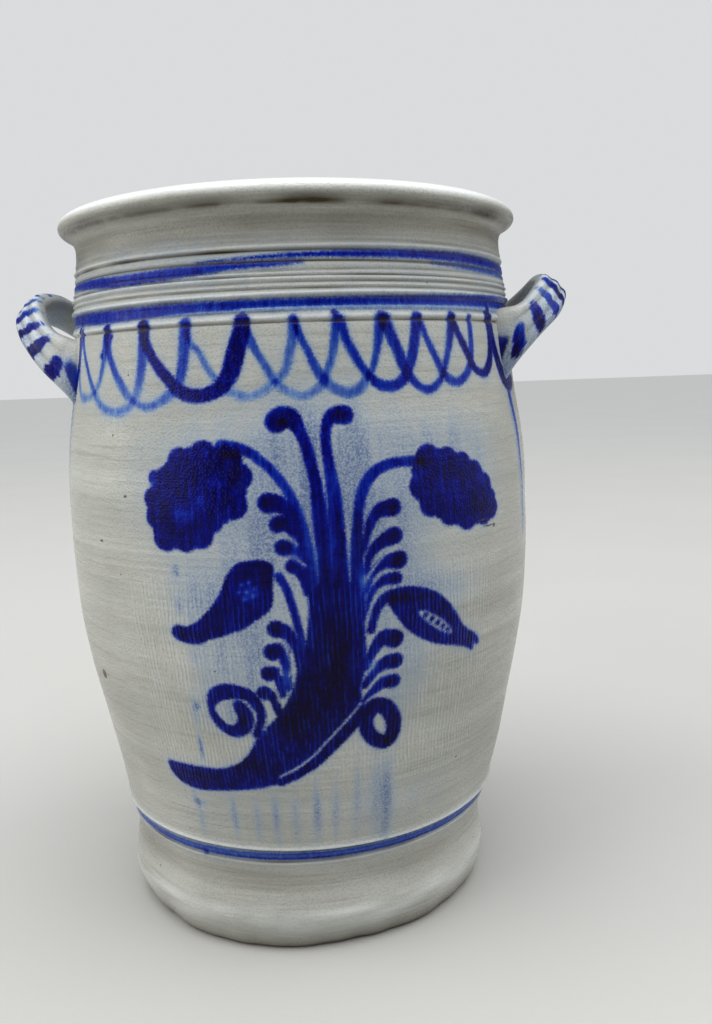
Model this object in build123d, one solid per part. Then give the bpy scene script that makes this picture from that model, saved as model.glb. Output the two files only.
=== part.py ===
from build123d import *
import os
from math import cos, sin, radians

# A salt-glazed stoneware fermenting crock with two ear handles. Inside, a round wooden
# follower rests where the wall narrows, and two half-moon weights lie on it.
# Millimetres. The origin is the middle of the foot, +Z is up, and the handles are at +X and -X.

# ------------------------------------------------------------------ driving dimensions
HEIGHT = 462.0            # foot to the top of the rim
FOOT_R = 118.0            # ring the pot stands on
FOOT_EDGE = 5.0           # rounding from the underside up to the foot band
BELLY_R = 158.6           # widest part of the pot
BELLY_Z = 262.0
SHOULDER_Z = 345.0        # where the shoulder turns into the neck
NECK_R = 142.6            # outside of the neck below the rim
NECK_Z = 428.0
# (radius, height) of the outside: the foot band up to its ring, then on to the neck
FOOT_BAND = [(126.4, 20.0), (125.8, 44.0), (130.7, 69.0)]
LOWER_SIDE = [(143.5, 130.0), (156.6, 208.0), (BELLY_R, BELLY_Z)]
UPPER_SIDE = [(151.0, SHOULDER_Z), (145.2, 402.0), (NECK_R, NECK_Z)]
RING_SLOPE = (0.22, 1)    # direction of the wall at the ring
RIM_R = 151.7             # outside of the flared rim
RIM_ROLL = 7.5            # rounding of its top edge
COVE_R = 142.0            # deepest part of the hollow under the rim
COVE_Z = 443.0
LIP_R = 147.6             # lower edge of the lip
LIP_Z = 450.2

FLOOR = 16.0              # thickness of the bottom
WALL = 13.5               # thickness of the wall at the belly
MOUTH_R = 130.0           # inside of the neck
MOUTH_LOW = 390.0         # straight stretch of the neck's inside
MOUTH_HIGH = 442.0
FLOOR_R = 92.0            # flat part of the floor
FLOOR_CORNER = 22.0       # hollow corner between floor and wall
WALL_LEAN = -0.08         # slope of the wall where it meets that corner
# (radius, height) of the inside from the neck down past the belly
INSIDE = [(138.0, SHOULDER_Z), (BELLY_R - WALL, BELLY_Z), (137.6, 170.0)]

HANDLE_TILT = 45.0        # the loops rise away from the pot
HANDLE_LOOP_R = 57.0      # middle of the strap
HANDLE_THICK = 12.0
HANDLE_WIDE = 28.0
HANDLE_EDGE = 5.0         # rounding of the strap's edges
HANDLE_ROOT_X = 139.0     # middle of the loop, just inside the pot's wall
HANDLE_ROOT_Z = 368.0
HANDLE_SWEEP = 220.0      # degrees of loop, both ends run into the wall and are cut there

FOLLOWER_R = 122.0
FOLLOWER_Z = 98.0         # underside, where the wall narrows to the follower's size
FOLLOWER_BEVEL = 4.0      # the bevel on its lower edge rides on the wall
FOLLOWER_CLEAR = 0.5
PLANKS = 5
PLANK_THICK = 18.0
PLANK_GAP = 1.0
BATTEN_LONG = 196.0
BATTEN_WIDE = 28.0
BATTEN_THICK = 16.0
BATTEN_Y = 50.0
BATTEN_CHAMFER = 3.0
PEG_R = 4.0
PEG_EDGE = 12.0           # least distance from a peg's middle to a batten's end

WEIGHT_R = 116.0
WEIGHT_THICK = 24.0
WEIGHT_GAP = 3.0          # between the two straight sides
WEIGHT_EDGE = 5.0
FINGER_R = 16.0
FINGER_X = 52.0
REST_GAP = 0.2            # the weights lie this far above the battens

plank_pitch = (2 * FOLLOWER_R + PLANK_GAP) / PLANKS
plank_wide = plank_pitch - PLANK_GAP
plank_top = FOLLOWER_Z + PLANK_THICK
batten_top = plank_top + BATTEN_THICK


def turned(outline):
    """Solid of revolution about Z from a closed outline of (radius, height) curves."""
    return revolve(Plane.XZ * make_face(outline), Axis.Z)


# ------------------------------------------------------------------ pot
def outer_side():
    """Outside of the pot from the underside up to the neck."""
    foot = TangentArc((FOOT_R, 0), (FOOT_R + FOOT_EDGE, FOOT_EDGE), tangent=(1, 0))
    band = Spline(foot @ 1, *FOOT_BAND, tangents=[(0, 1), RING_SLOPE])
    side = Spline(band @ 1, *LOWER_SIDE, *UPPER_SIDE, tangents=[RING_SLOPE, (0, 1)])
    return foot, band, side


def rim_roll():
    """Flared rim, from the top of the neck's outside over to the mouth."""
    flare = (1, 0.85)
    cove = Spline((NECK_R, NECK_Z), (COVE_R, COVE_Z), (LIP_R, LIP_Z), tangents=[(0, 1), flare])
    lip = Spline((LIP_R, LIP_Z), (RIM_R, HEIGHT - RIM_ROLL), tangents=[flare, (0, 1)])
    roll = TangentArc(lip @ 1, (RIM_R - RIM_ROLL, HEIGHT), tangent=(0, 1))
    inside = Spline(roll @ 1, (MOUTH_R, MOUTH_HIGH), tangents=[(-1, 0), (0, -1)])
    return cove, lip, roll, inside


def inner_side():
    """Hollow of the pot, from the mouth down to the middle of the floor."""
    follower_seat = (FOLLOWER_R + FOLLOWER_CLEAR, FOLLOWER_Z + FOLLOWER_BEVEL)
    corner_top = (FLOOR_R + FLOOR_CORNER, FLOOR + FLOOR_CORNER)
    lean = (WALL_LEAN, -1)
    neck = Line((MOUTH_R, MOUTH_HIGH), (MOUTH_R, MOUTH_LOW))
    wall = Spline(neck @ 1, *INSIDE, follower_seat, corner_top, tangents=[(0, -1), lean])
    corner = Spline(corner_top, (FLOOR_R, FLOOR), tangents=[lean, (-1, 0)])
    floor = Line((FLOOR_R, FLOOR), (0, FLOOR))
    return neck, wall, corner, floor


def pot_outline(hollow):
    """Closed half outline of the pot. Without its hollow it is the filled outer shape."""
    under = Line((0, 0), (FOOT_R, 0))
    cove, lip, roll, inside = rim_roll()
    if hollow:
        rest = [inside, *inner_side(), Line((0, FLOOR), (0, 0))]
    else:
        rest = [Line(roll @ 1, (0, HEIGHT)), Line((0, HEIGHT), (0, 0))]
    return [under, *outer_side(), cove, lip, roll, *rest]


# ------------------------------------------------------------------ handles
def handle(side):
    """One ear handle: a flat strap bent round in a tilted plane and cut to the pot's wall."""
    tilt = radians(HANDLE_TILT)
    root = (side * HANDLE_ROOT_X, 0, HANDLE_ROOT_Z)
    outward = Vector(side * cos(tilt), 0, sin(tilt))
    loop_axis = Vector(-side * sin(tilt), 0, cos(tilt))
    start = outward.rotate(Axis((0, 0, 0), tuple(loop_axis)), -HANDLE_SWEEP / 2)
    section_plane = Plane(
        origin=Vector(*root) + start * HANDLE_LOOP_R, x_dir=start, z_dir=start.cross(loop_axis)
    )
    section = section_plane * RectangleRounded(HANDLE_THICK, HANDLE_WIDE, HANDLE_EDGE)
    strap = revolve(section, Axis(root, tuple(loop_axis)), HANDLE_SWEEP)
    return strap - turned(pot_outline(hollow=False))


# ------------------------------------------------------------------ follower
def peg_places():
    """Middle of each peg: one through every board under both battens."""
    places = []
    for board in range(PLANKS):
        x = -FOLLOWER_R + plank_wide / 2 + board * plank_pitch
        limit = BATTEN_LONG / 2 - PEG_EDGE
        for y in (-BATTEN_Y, BATTEN_Y):
            places.append((max(-limit, min(limit, x)), y))
    return places


def pegs():
    long = PLANK_THICK + BATTEN_THICK
    middle = FOLLOWER_Z + long / 2
    return Compound(children=[Pos(x, y, middle) * Cylinder(PEG_R, long) for x, y in peg_places()])


def peg_holes():
    long = PLANK_THICK + BATTEN_THICK + 2
    middle = FOLLOWER_Z + PLANK_THICK
    return [Pos(x, y, middle) * Cylinder(PEG_R, long) for x, y in peg_places()]


def plank(index):
    """One board of the follower, its ends cut to the round."""
    x = -FOLLOWER_R + plank_wide / 2 + index * plank_pitch
    middle = FOLLOWER_Z + PLANK_THICK / 2
    board = Pos(x, 0, middle) * Box(plank_wide, 2 * FOLLOWER_R + 2, PLANK_THICK)
    disc = Pos(0, 0, middle) * Cylinder(FOLLOWER_R, PLANK_THICK)
    disc = chamfer(disc.edges().sort_by(Axis.Z)[0], FOLLOWER_BEVEL)
    return (board & disc) - peg_holes()


def batten(y):
    middle = plank_top + BATTEN_THICK / 2
    bar = Pos(0, y, middle) * Box(BATTEN_LONG, BATTEN_WIDE, BATTEN_THICK)
    bar = chamfer(bar.edges().group_by(Axis.Z)[-1], BATTEN_CHAMFER)
    return bar - peg_holes()


# ------------------------------------------------------------------ weights
def weight(side):
    """Half-moon stoneware weight with a finger hole."""
    middle = batten_top + REST_GAP + WEIGHT_THICK / 2
    disc = Cylinder(WEIGHT_R, WEIGHT_THICK)
    block = Box(2 * WEIGHT_R, 2 * WEIGHT_R, WEIGHT_THICK)
    half = fillet((disc & Pos(side * (WEIGHT_R + WEIGHT_GAP / 2), 0, 0) * block).edges(), WEIGHT_EDGE)
    hole = Pos(side * FINGER_X, 0, 0) * Cylinder(FINGER_R, WEIGHT_THICK)
    return Pos(0, 0, middle) * (half - hole)


nodes = {
    "crock_body": turned(pot_outline(hollow=True)),
    "left_handle": handle(-1),
    "right_handle": handle(1),
    "follower_batten_front": batten(-BATTEN_Y),
    "follower_batten_rear": batten(BATTEN_Y),
    "follower_pegs": pegs(),
    "weight_left": weight(-1),
    "weight_right": weight(1),
}
for number in range(PLANKS):
    nodes[f"follower_plank_{number + 1}"] = plank(number)

os.makedirs("parts", exist_ok=True)
for name, shape in nodes.items():
    export_step(shape, f"parts/{name}.step")
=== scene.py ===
"""Looks of the stoneware crock: the thrown, salt-glazed pot with its cobalt painting, the pulled
handles, and the wooden follower and stoneware weights inside. Lengths are in millimetres until
a mesh is made, and painting is laid out in (s, z): s runs round the pot from its front, to the
right as it is faced, at a radius of 150 mm, and z is the height. Capital S, Z, R and A hold a
value of s, height, radius and angle for every point of a grid."""

import math

import bpy
import numpy as np
from mathutils import Matrix, Vector


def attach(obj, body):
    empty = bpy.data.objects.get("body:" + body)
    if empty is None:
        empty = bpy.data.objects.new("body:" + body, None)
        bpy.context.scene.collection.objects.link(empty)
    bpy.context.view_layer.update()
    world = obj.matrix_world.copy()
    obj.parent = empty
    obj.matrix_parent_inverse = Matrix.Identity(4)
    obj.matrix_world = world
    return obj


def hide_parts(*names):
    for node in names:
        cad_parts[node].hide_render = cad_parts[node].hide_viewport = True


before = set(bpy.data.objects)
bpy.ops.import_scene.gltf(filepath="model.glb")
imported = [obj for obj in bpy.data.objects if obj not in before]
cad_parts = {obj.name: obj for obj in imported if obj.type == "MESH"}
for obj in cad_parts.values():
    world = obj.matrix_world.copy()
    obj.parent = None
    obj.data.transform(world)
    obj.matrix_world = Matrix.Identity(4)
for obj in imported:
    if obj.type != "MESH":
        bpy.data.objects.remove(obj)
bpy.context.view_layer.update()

MM = 0.001
PAINT_R = 150.0           # radius at which the painting is laid out


# ---------------------- small numpy tools
def through(knots, step=6):
    """Catmull-Rom curve through the knots (rows of numbers), with step pieces between two knots."""
    p = np.array(knots, float)
    if len(p) < 3:
        t = np.linspace(0, 1, step + 1)[:, None]
        return p[0] * (1 - t) + p[-1] * t
    ends = np.vstack([2 * p[0] - p[1], p, 2 * p[-1] - p[-2]])
    out = []
    for a, b, c, d in zip(ends, ends[1:], ends[2:], ends[3:]):
        square, cube = 2 * a - 5 * b + 4 * c - d, 3 * b - a - 3 * c + d
        for t in np.arange(step) / step:
            out.append(0.5 * (2 * b + (c - a) * t + square * t**2 + cube * t**3))
    return np.vstack([out, p[-1]])


def closed(knots, step=5):
    """The same curve through a closed ring of knots."""
    p = [*knots[-2:], *knots, *knots[:2]]
    return through(p, step)[2 * step : -2 * step]


def steps(t):
    """Smooth step from 0 to 1."""
    t = np.clip(t, 0, 1)
    return t * t * (3 - 2 * t)


def bell(x, middle, wide):
    """One smooth hump of height 1."""
    return np.exp(-(((x - middle) / wide) ** 2))


def waves(a, b, seed, count=14, low=1.0, high=6.0):
    """Smooth unevenness between about -1 and 1 over two coordinates, from seeded waves."""
    rng = np.random.default_rng(seed)
    total = 0
    for _ in range(count):
        k = rng.uniform(low, high)
        turn, phase = rng.uniform(0, 2 * math.pi, 2)
        total = total + np.sin(k * (math.cos(turn) * a + math.sin(turn) * b) + phase)
    return total / math.sqrt(count)


# ---------------------- painting: strokes on the wall
# Every stroke is (tone, [(s, z, half width), ...]). Tone runs from a thin wash to thick cobalt.
STROKE, SOLID = 0.86, 0.9         # tones of the spray's strokes, and of its leaves and flowers
LOOPS = [
    (0.50, [
        (-154, 380, 1.6), (-158, 362, 1.2), (-154, 351, 1.2), (-147, 349, 1.3), (-138, 349.5, 1.3),
        (-130, 352.5, 1.3), (-124, 358, 1.3), (-120, 366, 2.2), (-117, 375, 3), (-115, 388, 3.8),
    ]),
    (0.57, [
        (-151.5, 389, 2), (-148, 378, 1.8), (-142, 368, 1.8), (-136, 359, 1.8), (-131, 353, 1.8),
        (-125, 347, 1.5), (-118, 343, 1.4), (-109, 341, 1.5), (-102, 341, 1.6), (-95, 343, 1.7),
        (-90, 347.5, 2), (-87, 353, 2.4), (-84.5, 362, 3), (-82.5, 372, 3.6), (-81, 388, 4.2),
    ]),
    (0.68, [
        (-115, 388, 3.8), (-113, 376, 3), (-109, 368, 2.6), (-104, 360, 2.6), (-98, 353, 2.2),
        (-93, 348.5, 1.5), (-86, 345, 1.2), (-79, 343.5, 1.2), (-72, 345.5, 1.6), (-64, 350, 2.2),
        (-59, 354.5, 2.6), (-56, 362, 3), (-54, 372, 3.3), (-52.5, 388, 3.5),
    ]),
    (0.86, [
        (-82, 388, 4.2), (-80, 379, 3.6), (-76, 372, 3.2), (-70, 364, 3.4), (-64, 358, 3.7),
        (-59, 353, 3.9), (-53, 350, 3.9), (-47, 349, 3.9), (-41, 349.5, 4), (-33, 353, 4.5),
        (-28, 359, 5), (-25, 366, 5.3), (-22.5, 374, 5.3), (-20, 382, 4.9), (-19, 388, 4.6),
    ]),
    (0.48, [
        (-50, 378, 1.8), (-45, 373, 1.6), (-40, 364, 1.6), (-35.5, 358.5, 1.5), (-30, 353, 1.4),
        (-25, 350, 1.3), (-18, 347.6, 1.3), (-10, 350, 1.4), (-4, 354, 1.5), (0, 357, 1.7), (4, 362, 2),
        (6, 370, 2.4), (8.5, 380, 2.7), (9, 388, 2.8),
    ]),
    (0.54, [
        (-15, 378, 2.4), (-12, 372, 2.2), (-8, 365, 2), (-4, 358, 2), (0, 353, 1.5), (6, 349, 1.2),
        (12, 347, 1.2), (18, 349, 1.5), (23, 353, 2), (26, 359, 1.9), (29, 367, 2), (31, 376, 2.3),
        (33, 388, 2.8),
    ]),
    (0.67, [
        (12, 380, 2), (16, 371, 2.1), (20, 362, 2.4), (24, 356, 2.6), (29, 351, 2.2), (37, 347.8, 2),
        (44, 350, 1.9), (48, 355, 1.8), (52, 361, 1.8), (55, 370, 2.2), (57, 380, 2.8), (59, 388, 3.8),
    ]),
    (0.78, [
        (37, 378, 2.5), (42, 368, 2.4), (47, 360, 2.3), (51, 355, 2.6), (56, 351.5, 3), (62, 350.5, 3),
        (68, 352, 3), (72, 356, 3.2), (76, 364, 3.3), (79, 374, 3.4), (82, 388, 3.6),
    ]),
    (0.76, [
        (64, 378, 3.5), (68, 370, 3.4), (71, 362, 3.4), (74, 356, 3.3), (77, 353, 2.5),
        (81, 349.5, 2.2), (87, 347.5, 2.5), (93, 350, 2.2), (98, 355, 2), (101, 362, 2.1),
        (104, 370, 2.3), (107, 380, 3), (109, 388, 3.6),
    ]),
    (0.72, [
        (87, 378, 2), (91, 370, 2.1), (95, 363, 2.2), (98.5, 357, 2.6), (103, 353, 2.6),
        (110, 351, 2.6), (116, 353.5, 2.6), (121, 358, 2.7), (124, 364, 2.7), (125.5, 372, 2.4),
        (126.5, 388, 2.2),
    ]),
    (0.86, [
        (113, 380, 2.6), (118, 372, 2.8), (122, 366, 2.8), (125, 361, 2.6), (129, 357.5, 2.4),
        (136, 355.4, 2.6), (141, 357, 3.4), (146, 362, 3.6), (149, 370, 3.5), (150, 380, 3.4),
        (148.5, 390, 3.4),
    ]),
]
HANG_Z = 388              # height of the line that the garland hangs from
LOOP_TOPS = [-151.5, -115, -81.5, -53, -19, 9, 34, 60, 83, 109, 126.5, 148.5]

TRUNK = [
    (11, 241), (10, 228), (8, 213), (4, 200), (0, 185), (-6, 172), (-13, 163), (-20, 156), (-25, 149),
    (-30, 141), (-38, 133.5), (-50, 129), (-65, 128), (-80, 128), (-91, 127.5), (-92, 124), (-89, 118),
    (-82, 113.5), (-70, 111.5), (-55, 113), (-40, 115), (-25, 117.5), (-12, 121.5), (-2, 128),
    (10, 138.5), (20, 150.5), (30, 162), (38, 171), (38, 180), (41, 200), (40, 220), (41, 232),
    (38, 241), (31, 246), (24, 248), (16, 246),
]
PAISLEY = [
    (-33, 250), (-35, 245), (-38, 239), (-42, 233), (-47, 227.5), (-52, 223), (-58, 220), (-64, 220.5),
    (-67, 218.5), (-68.5, 215.5), (-66.5, 212), (-62, 210), (-56, 209.3), (-50, 210), (-45, 212.5),
    (-38, 214.5), (-32, 217), (-25, 219.5), (-20, 223), (-15, 226.5), (-10, 230.5), (-8, 237),
    (-8, 244), (-7, 255), (-12, 259), (-18, 259), (-25, 258), (-30, 254.5),
]
ALMOND = [
    (52, 231), (54, 236.5), (60, 238.3), (68, 237.8), (77, 235), (85, 231), (92, 224.5), (98, 217),
    (105, 207.5), (112, 202), (117.5, 198.5), (121, 193), (118.5, 191.5), (116, 193.4), (115, 188.8),
    (108, 192.5), (98, 196), (87, 199), (77, 203.5), (68, 209.5), (61, 217), (55, 226),
]
LEFT_FLOWER = [
    (-43, 317, 8), (-30, 314, 9), (-24, 305, 8), (-27, 289.5, 8), (-40, 281, 7.3), (-46, 273, 7.8),
    (-55, 271, 7.8), (-67, 271, 7.8), (-71, 283, 8), (-74, 293, 6.3), (-66, 304, 7), (-57, 314, 7.3),
]
RIGHT_FLOWER = [
    (81, 309.5, 8), (94, 307.5, 7.5), (105, 303, 8), (114, 297.5, 8), (122.5, 290, 7), (126, 281, 7),
    (128.5, 275, 6.5), (121.5, 273, 7), (107, 273, 8), (94, 277, 7.7), (81.5, 284, 8), (76, 294, 8),
    (77, 303, 7),
]

STEMS = [
    (0.8, [(-73, 304.5, 4.3), (-72, 304.5, 4.2)]),
    (0.93, [
        (-12, 122, 3), (0, 127.7, 3), (10, 134.5, 3.4), (20, 144, 4), (30, 155, 4.6), (38, 165, 5),
    ]),
    (0.95, [
        (41, 160, 4.5), (45, 167.5, 5), (52, 166.5, 5), (58, 158, 5), (58.5, 148, 5), (54, 142.5, 4.6),
        (46.5, 146, 4.5), (42, 152.5, 4.5), (41, 160, 4.5),
    ]),
    (0.84, [
        (19.5, 234, 5), (20.3, 249, 5), (20, 264, 4.8), (18, 285, 4.2), (16.8, 300, 3.4),
        (15, 310, 3.3), (12.8, 320, 3.3), (9.5, 329, 3.6), (5.5, 335, 5.5), (1, 336, 6.2),
        (-2.5, 334, 6.2),
    ]),
    (0.84, [
        (28, 232, 5), (27.8, 246, 4.8), (27.2, 262, 4.5), (26.5, 280, 4.2), (25.8, 295, 3.9),
        (24.3, 310, 3.1), (23.2, 320, 2.9), (23.6, 329, 3.1), (26.5, 335, 4), (31, 336.3, 5.2),
        (34, 336, 5.2),
    ]),
    (0.72, [
        (14, 230, 3.6), (12.8, 243, 3.6), (12, 255, 3.5), (10.5, 268, 3), (8, 280, 3), (4.5, 291, 2.8),
        (0, 300, 2.6), (-5, 307, 2.7), (-10, 312, 2.8), (-16, 317, 3), (-24, 320.5, 3.2), (-33, 322, 3),
    ]),
    (0.76, [
        (37.2, 224, 4.2), (36.6, 240, 4), (36.8, 260, 3.8), (37.6, 275, 3.2), (38.8, 285, 3),
        (41.5, 295, 3.2), (45.5, 301.5, 3.3), (51, 305.8, 3.2), (58, 308.2, 3), (66, 308.7, 2.9),
        (73, 308.3, 3.2),
    ]),
    (0.8, [
        (-4.5, 249.5, 2.6), (-0.8, 242, 2.3), (1.8, 232, 2.2), (4, 222, 2.2), (5.5, 212, 2.3),
        (5.5, 200, 2.5),
    ]),
    (0.86, [(43.5, 215, 2.5), (46, 225, 2.7), (50, 231.5, 3), (55, 234.5, 3.4)]),
    (0.9, [
        (-23, 154, 3), (-20.5, 161, 2.8), (-19.5, 168, 2.8), (-22, 174.5, 3.5), (-27, 180, 4),
        (-38, 181.3, 5), (-46, 178, 4.5), (-49.3, 171, 2.2), (-48, 164, 2.8), (-43.5, 158, 3.3),
        (-37.5, 155.5, 3.8), (-31.5, 158, 4.8), (-29, 164, 4.9), (-30.5, 170, 4.5), (-32.5, 173, 3.2),
    ]),
]
# Each drop is its head and the stem that runs down from it into the trunk.
DROPS = [
    [(57, 284, 5.5), (50, 283, 4), (45.5, 278, 3), (42.5, 270, 2.3), (40.5, 262, 2)],
    [(57.5, 268, 5.3), (51, 265.5, 4), (46, 261.5, 3), (43, 256, 2.3), (41.5, 248, 2)],
    [(60, 254, 5.4), (53, 253.5, 3.8), (47.5, 250.5, 2.8), (43.5, 245.5, 2.2), (41.5, 238, 2)],
    [(58, 243.5, 4.2), (52, 243.5, 3.2), (47, 240.5, 2.3), (43.5, 235.5, 2), (41.5, 228, 1.8)],
    [(57, 208, 5.8), (51, 209.5, 4.8), (46.5, 205, 3.4), (43, 199, 2.8), (40.5, 193, 2.4)],
    [(58, 194.5, 4.9), (52, 194, 4.2), (47, 191, 3.2), (43.5, 187, 2.6), (40, 182, 2.3)],
    [(57, 182, 4.5), (51, 182, 3.7), (46.5, 179, 2.9), (42.5, 175, 2.4), (39, 171, 2.2)],
    [(-8.5, 290.5, 5.6), (-3, 289.5, 5), (2, 286, 4), (5.5, 279, 3.5), (8, 270, 3)],
    [(-3.5, 278.5, 5), (1, 278.5, 4.5), (5, 273, 3.2), (8, 266, 2.8), (10, 257, 2.5)],
    [(-1.5, 265.7, 4.8), (3, 264, 3.6), (7, 259.5, 2.8), (9, 253, 2.5), (10, 245, 2.4)],
    [(3, 255, 4.3), (6.5, 252, 3.2), (8.5, 247, 2.6), (10, 240, 2.4)],
    [(-7.5, 219.5, 5.2), (-2.5, 217.5, 4), (1, 212, 3), (3.5, 205, 2.6), (4.5, 196, 2.5)],
    [(-10, 206, 5.3), (-5.5, 207, 4), (-4, 200, 3), (-3.5, 192, 2.6), (-3, 184, 2.5)],
    [(-13, 193, 4.8), (-9, 193, 3.5), (-7.5, 187, 2.7), (-6.5, 180, 2.4)],
    [(-16.5, 181, 4.6), (-12.5, 179, 3), (-10.5, 174, 2.6), (-9, 168, 2.4)],
]
# Thin light lines left between the strokes.
GAPS = [
    [(-12, 125.5), (0, 131.8), (10, 139.5), (15, 144.8), (25, 155.8), (31, 162.5), (38, 171)],
    [(42, 245), (45, 250), (50, 256), (53, 258.5), (58, 260.5)],
    [(46, 243), (51, 247.5), (56, 248.5)],
    [(42, 222), (44, 230), (47, 235), (52, 239), (58, 239.2)],
    [(40.5, 188), (44, 192.5), (48, 197.5), (52, 200.5), (56, 201.5)],
    [(42, 180), (46, 184), (51, 187.5), (57, 187.8)],
    [(41, 171.5), (45, 174), (50, 176), (55, 176.5)],
    [(-1, 273.8), (3, 270.5), (5.5, 267)],
    [(2, 261), (6, 258.5), (9, 255)],
    [(-9, 212.5), (-5, 211), (-2, 206), (-0.5, 199), (-1.5, 192)],
    [(-11, 199.5), (-7, 198.5), (-6, 192)],
    [(-14, 186), (-11, 185.5), (-9, 181), (-8.5, 176)],
    [(-17, 175), (-15, 170), (-17, 163), (-19, 157)],
]
# Thick, nearly black places: (s, z, radius round, radius up, strength)
POOLS = [
    (-8.5, 290.5, 3.4, 3, 0.8), (-3.5, 278.5, 3, 2.6, 0.8), (-1.5, 265.7, 2.8, 2.5, 0.8),
    (3, 255, 2.4, 2.4, 0.7), (57, 284, 3.4, 2.8, 0.8), (57.5, 268, 3.2, 2.8, 0.8),
    (60, 254, 3.6, 3, 0.95), (58, 243.5, 2.6, 2.2, 0.7), (57, 208, 4.6, 3.4, 1),
    (58, 194.5, 4, 2.8, 0.9), (56, 182, 3.6, 2.4, 0.9), (-8, 220, 4, 3, 1), (-10, 206, 3.6, 3, 0.9),
    (-13, 193, 3.2, 2.8, 0.8), (-16.5, 181, 2.8, 2.6, 0.8), (0.5, 334, 5, 4.5, 0.9),
    (32, 336, 3.8, 3.4, 0.8), (-28, 317, 7, 3, 1), (77, 308, 5, 3.4, 1), (38, 270, 3, 16, 0.5),
    (24, 196, 13, 44, 0.9), (-2, 163, 15, 20, 0.85), (10, 178, 12, 26, 0.7), (20, 250, 8, 10, 0.25),
    (-28, 133, 22, 10, 0.7), (-66, 121, 22, 6, 0.6), (-30, 164, 3, 7, 0.8), (55, 144, 5, 4, 1),
    (58, 157, 2.5, 6, 0.5), (60, 232, 8, 3.6, 0.9), (74, 230, 9, 3, 0.6), (-12, 248, 4, 8, 0.6),
    (-55, 215, 10, 3, 0.5), (118, 278, 9, 5, 0.55), (-24, 306, 5, 7, 0.55), (-68, 286, 5, 9, 0.35),
    (100, 300, 14, 5, 0.3), (-45, 349, 9, 3.5, 0.15), (-23, 372, 4, 10, 0.2), (-81, 380, 3, 6, 0.25),
    (60, 384, 3, 5, 0.5), (108, 378, 3, 8, 0.3), (148, 366, 3, 12, 0.4), (40, 165, 4, 3, 0.3),
]
# Lighter, mottled places inside thick paint.
THIN = [
    (-21, 241, 4, 5, 0.35), (-24.5, 245, 1.4, 1.4, 0.7), (-20.5, 246.5, 1.4, 1.4, 0.7),
    (-18, 243, 1.4, 1.4, 0.7), (-22, 241, 1.4, 1.4, 0.8), (-18.5, 239, 1.4, 1.4, 0.7),
    (-23, 237, 1.4, 1.4, 0.7), (-26, 241, 1.4, 1.4, 0.7), (15.4, 258, 1.1, 9, 0.4),
    (23.6, 260, 1.1, 10, 0.4), (32, 258, 1.1, 9, 0.35), (-55, 284, 6, 5, 0.35), (-45, 292, 4, 4, 0.3),
    (-38, 302, 4, 3, 0.25), (41, 244, 3, 7, 0.5), (6, 262, 4, 8, 0.3), (-4, 190, 3, 12, 0.4),
    (26, 300, 3, 12, 0.2), (44, 192, 4, 5, 0.4), (96, 288, 10, 6, 0.15),
]
# Bands drawn while the pot turned: knots of (s, middle z, half width) and a tone.
BANDS = [
    (0.7, [
        (-175, 397, 3.4), (-120, 395.5, 3.8), (-60, 396.3, 3.2), (0, 396.9, 2.4), (60, 397.2, 2.6),
        (110, 397.8, 3), (175, 398.6, 3.6), (260, 397.5, 3.2), (380, 396.5, 3), (471, 396.5, 3),
    ]),
    (0.6, [(-471, 396.5, 3), (-380, 396.3, 3), (-260, 396.8, 3.2), (-175, 397, 3.4)]),
    (0.3, [(-175, 392.6, 0.8), (-60, 393.6, 0.8), (0, 393.8, 0.8), (120, 393.8, 0.9), (175, 394, 0.9)]),
    (0.72, [
        (-175, 417.5, 2), (-140, 416.2, 2.8), (-100, 414.8, 3.2), (-55, 416, 3), (-25, 417.5, 2),
        (0, 417.9, 1.4), (16, 418.7, 0.7),
    ]),
    (0.76, [
        (-46, 420.3, 0.2), (-18, 421.2, 0.6), (15, 422.2, 1.3), (45, 422.6, 1.9), (75, 422.8, 2.2),
        (120, 422.8, 2.7), (175, 421.8, 2.8), (260, 420.5, 2.6), (380, 418.5, 2.4), (471, 417.5, 2.4),
    ]),
    (0.7, [(-471, 417.5, 2.4), (-360, 418.5, 2.4), (-260, 418.8, 2.2), (-175, 417.5, 2)]),
    (0.6, [(98, 418.4, 0.5), (140, 417.5, 1.5), (175, 417.2, 1.8), (230, 416.4, 1.2), (270, 416, 0.4)]),
    (0.5, [
        (-471, 66.9, 2.6), (-250, 67.1, 2.8), (-120, 67.1, 3.1), (0, 67.7, 3.1), (120, 67.7, 3),
        (250, 67.3, 2.8), (471, 66.9, 2.6),
    ]),
    (0.6, [(-77, 66, 3), (-76, 65, 2.4)]),
]
# Darker lines inside the ring round the foot, where the cobalt gathered: (height, half width, strength)
RING_LINES = [(64.9, 0.9, 0.75), (69.3, 0.6, 0.5)]
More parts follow.
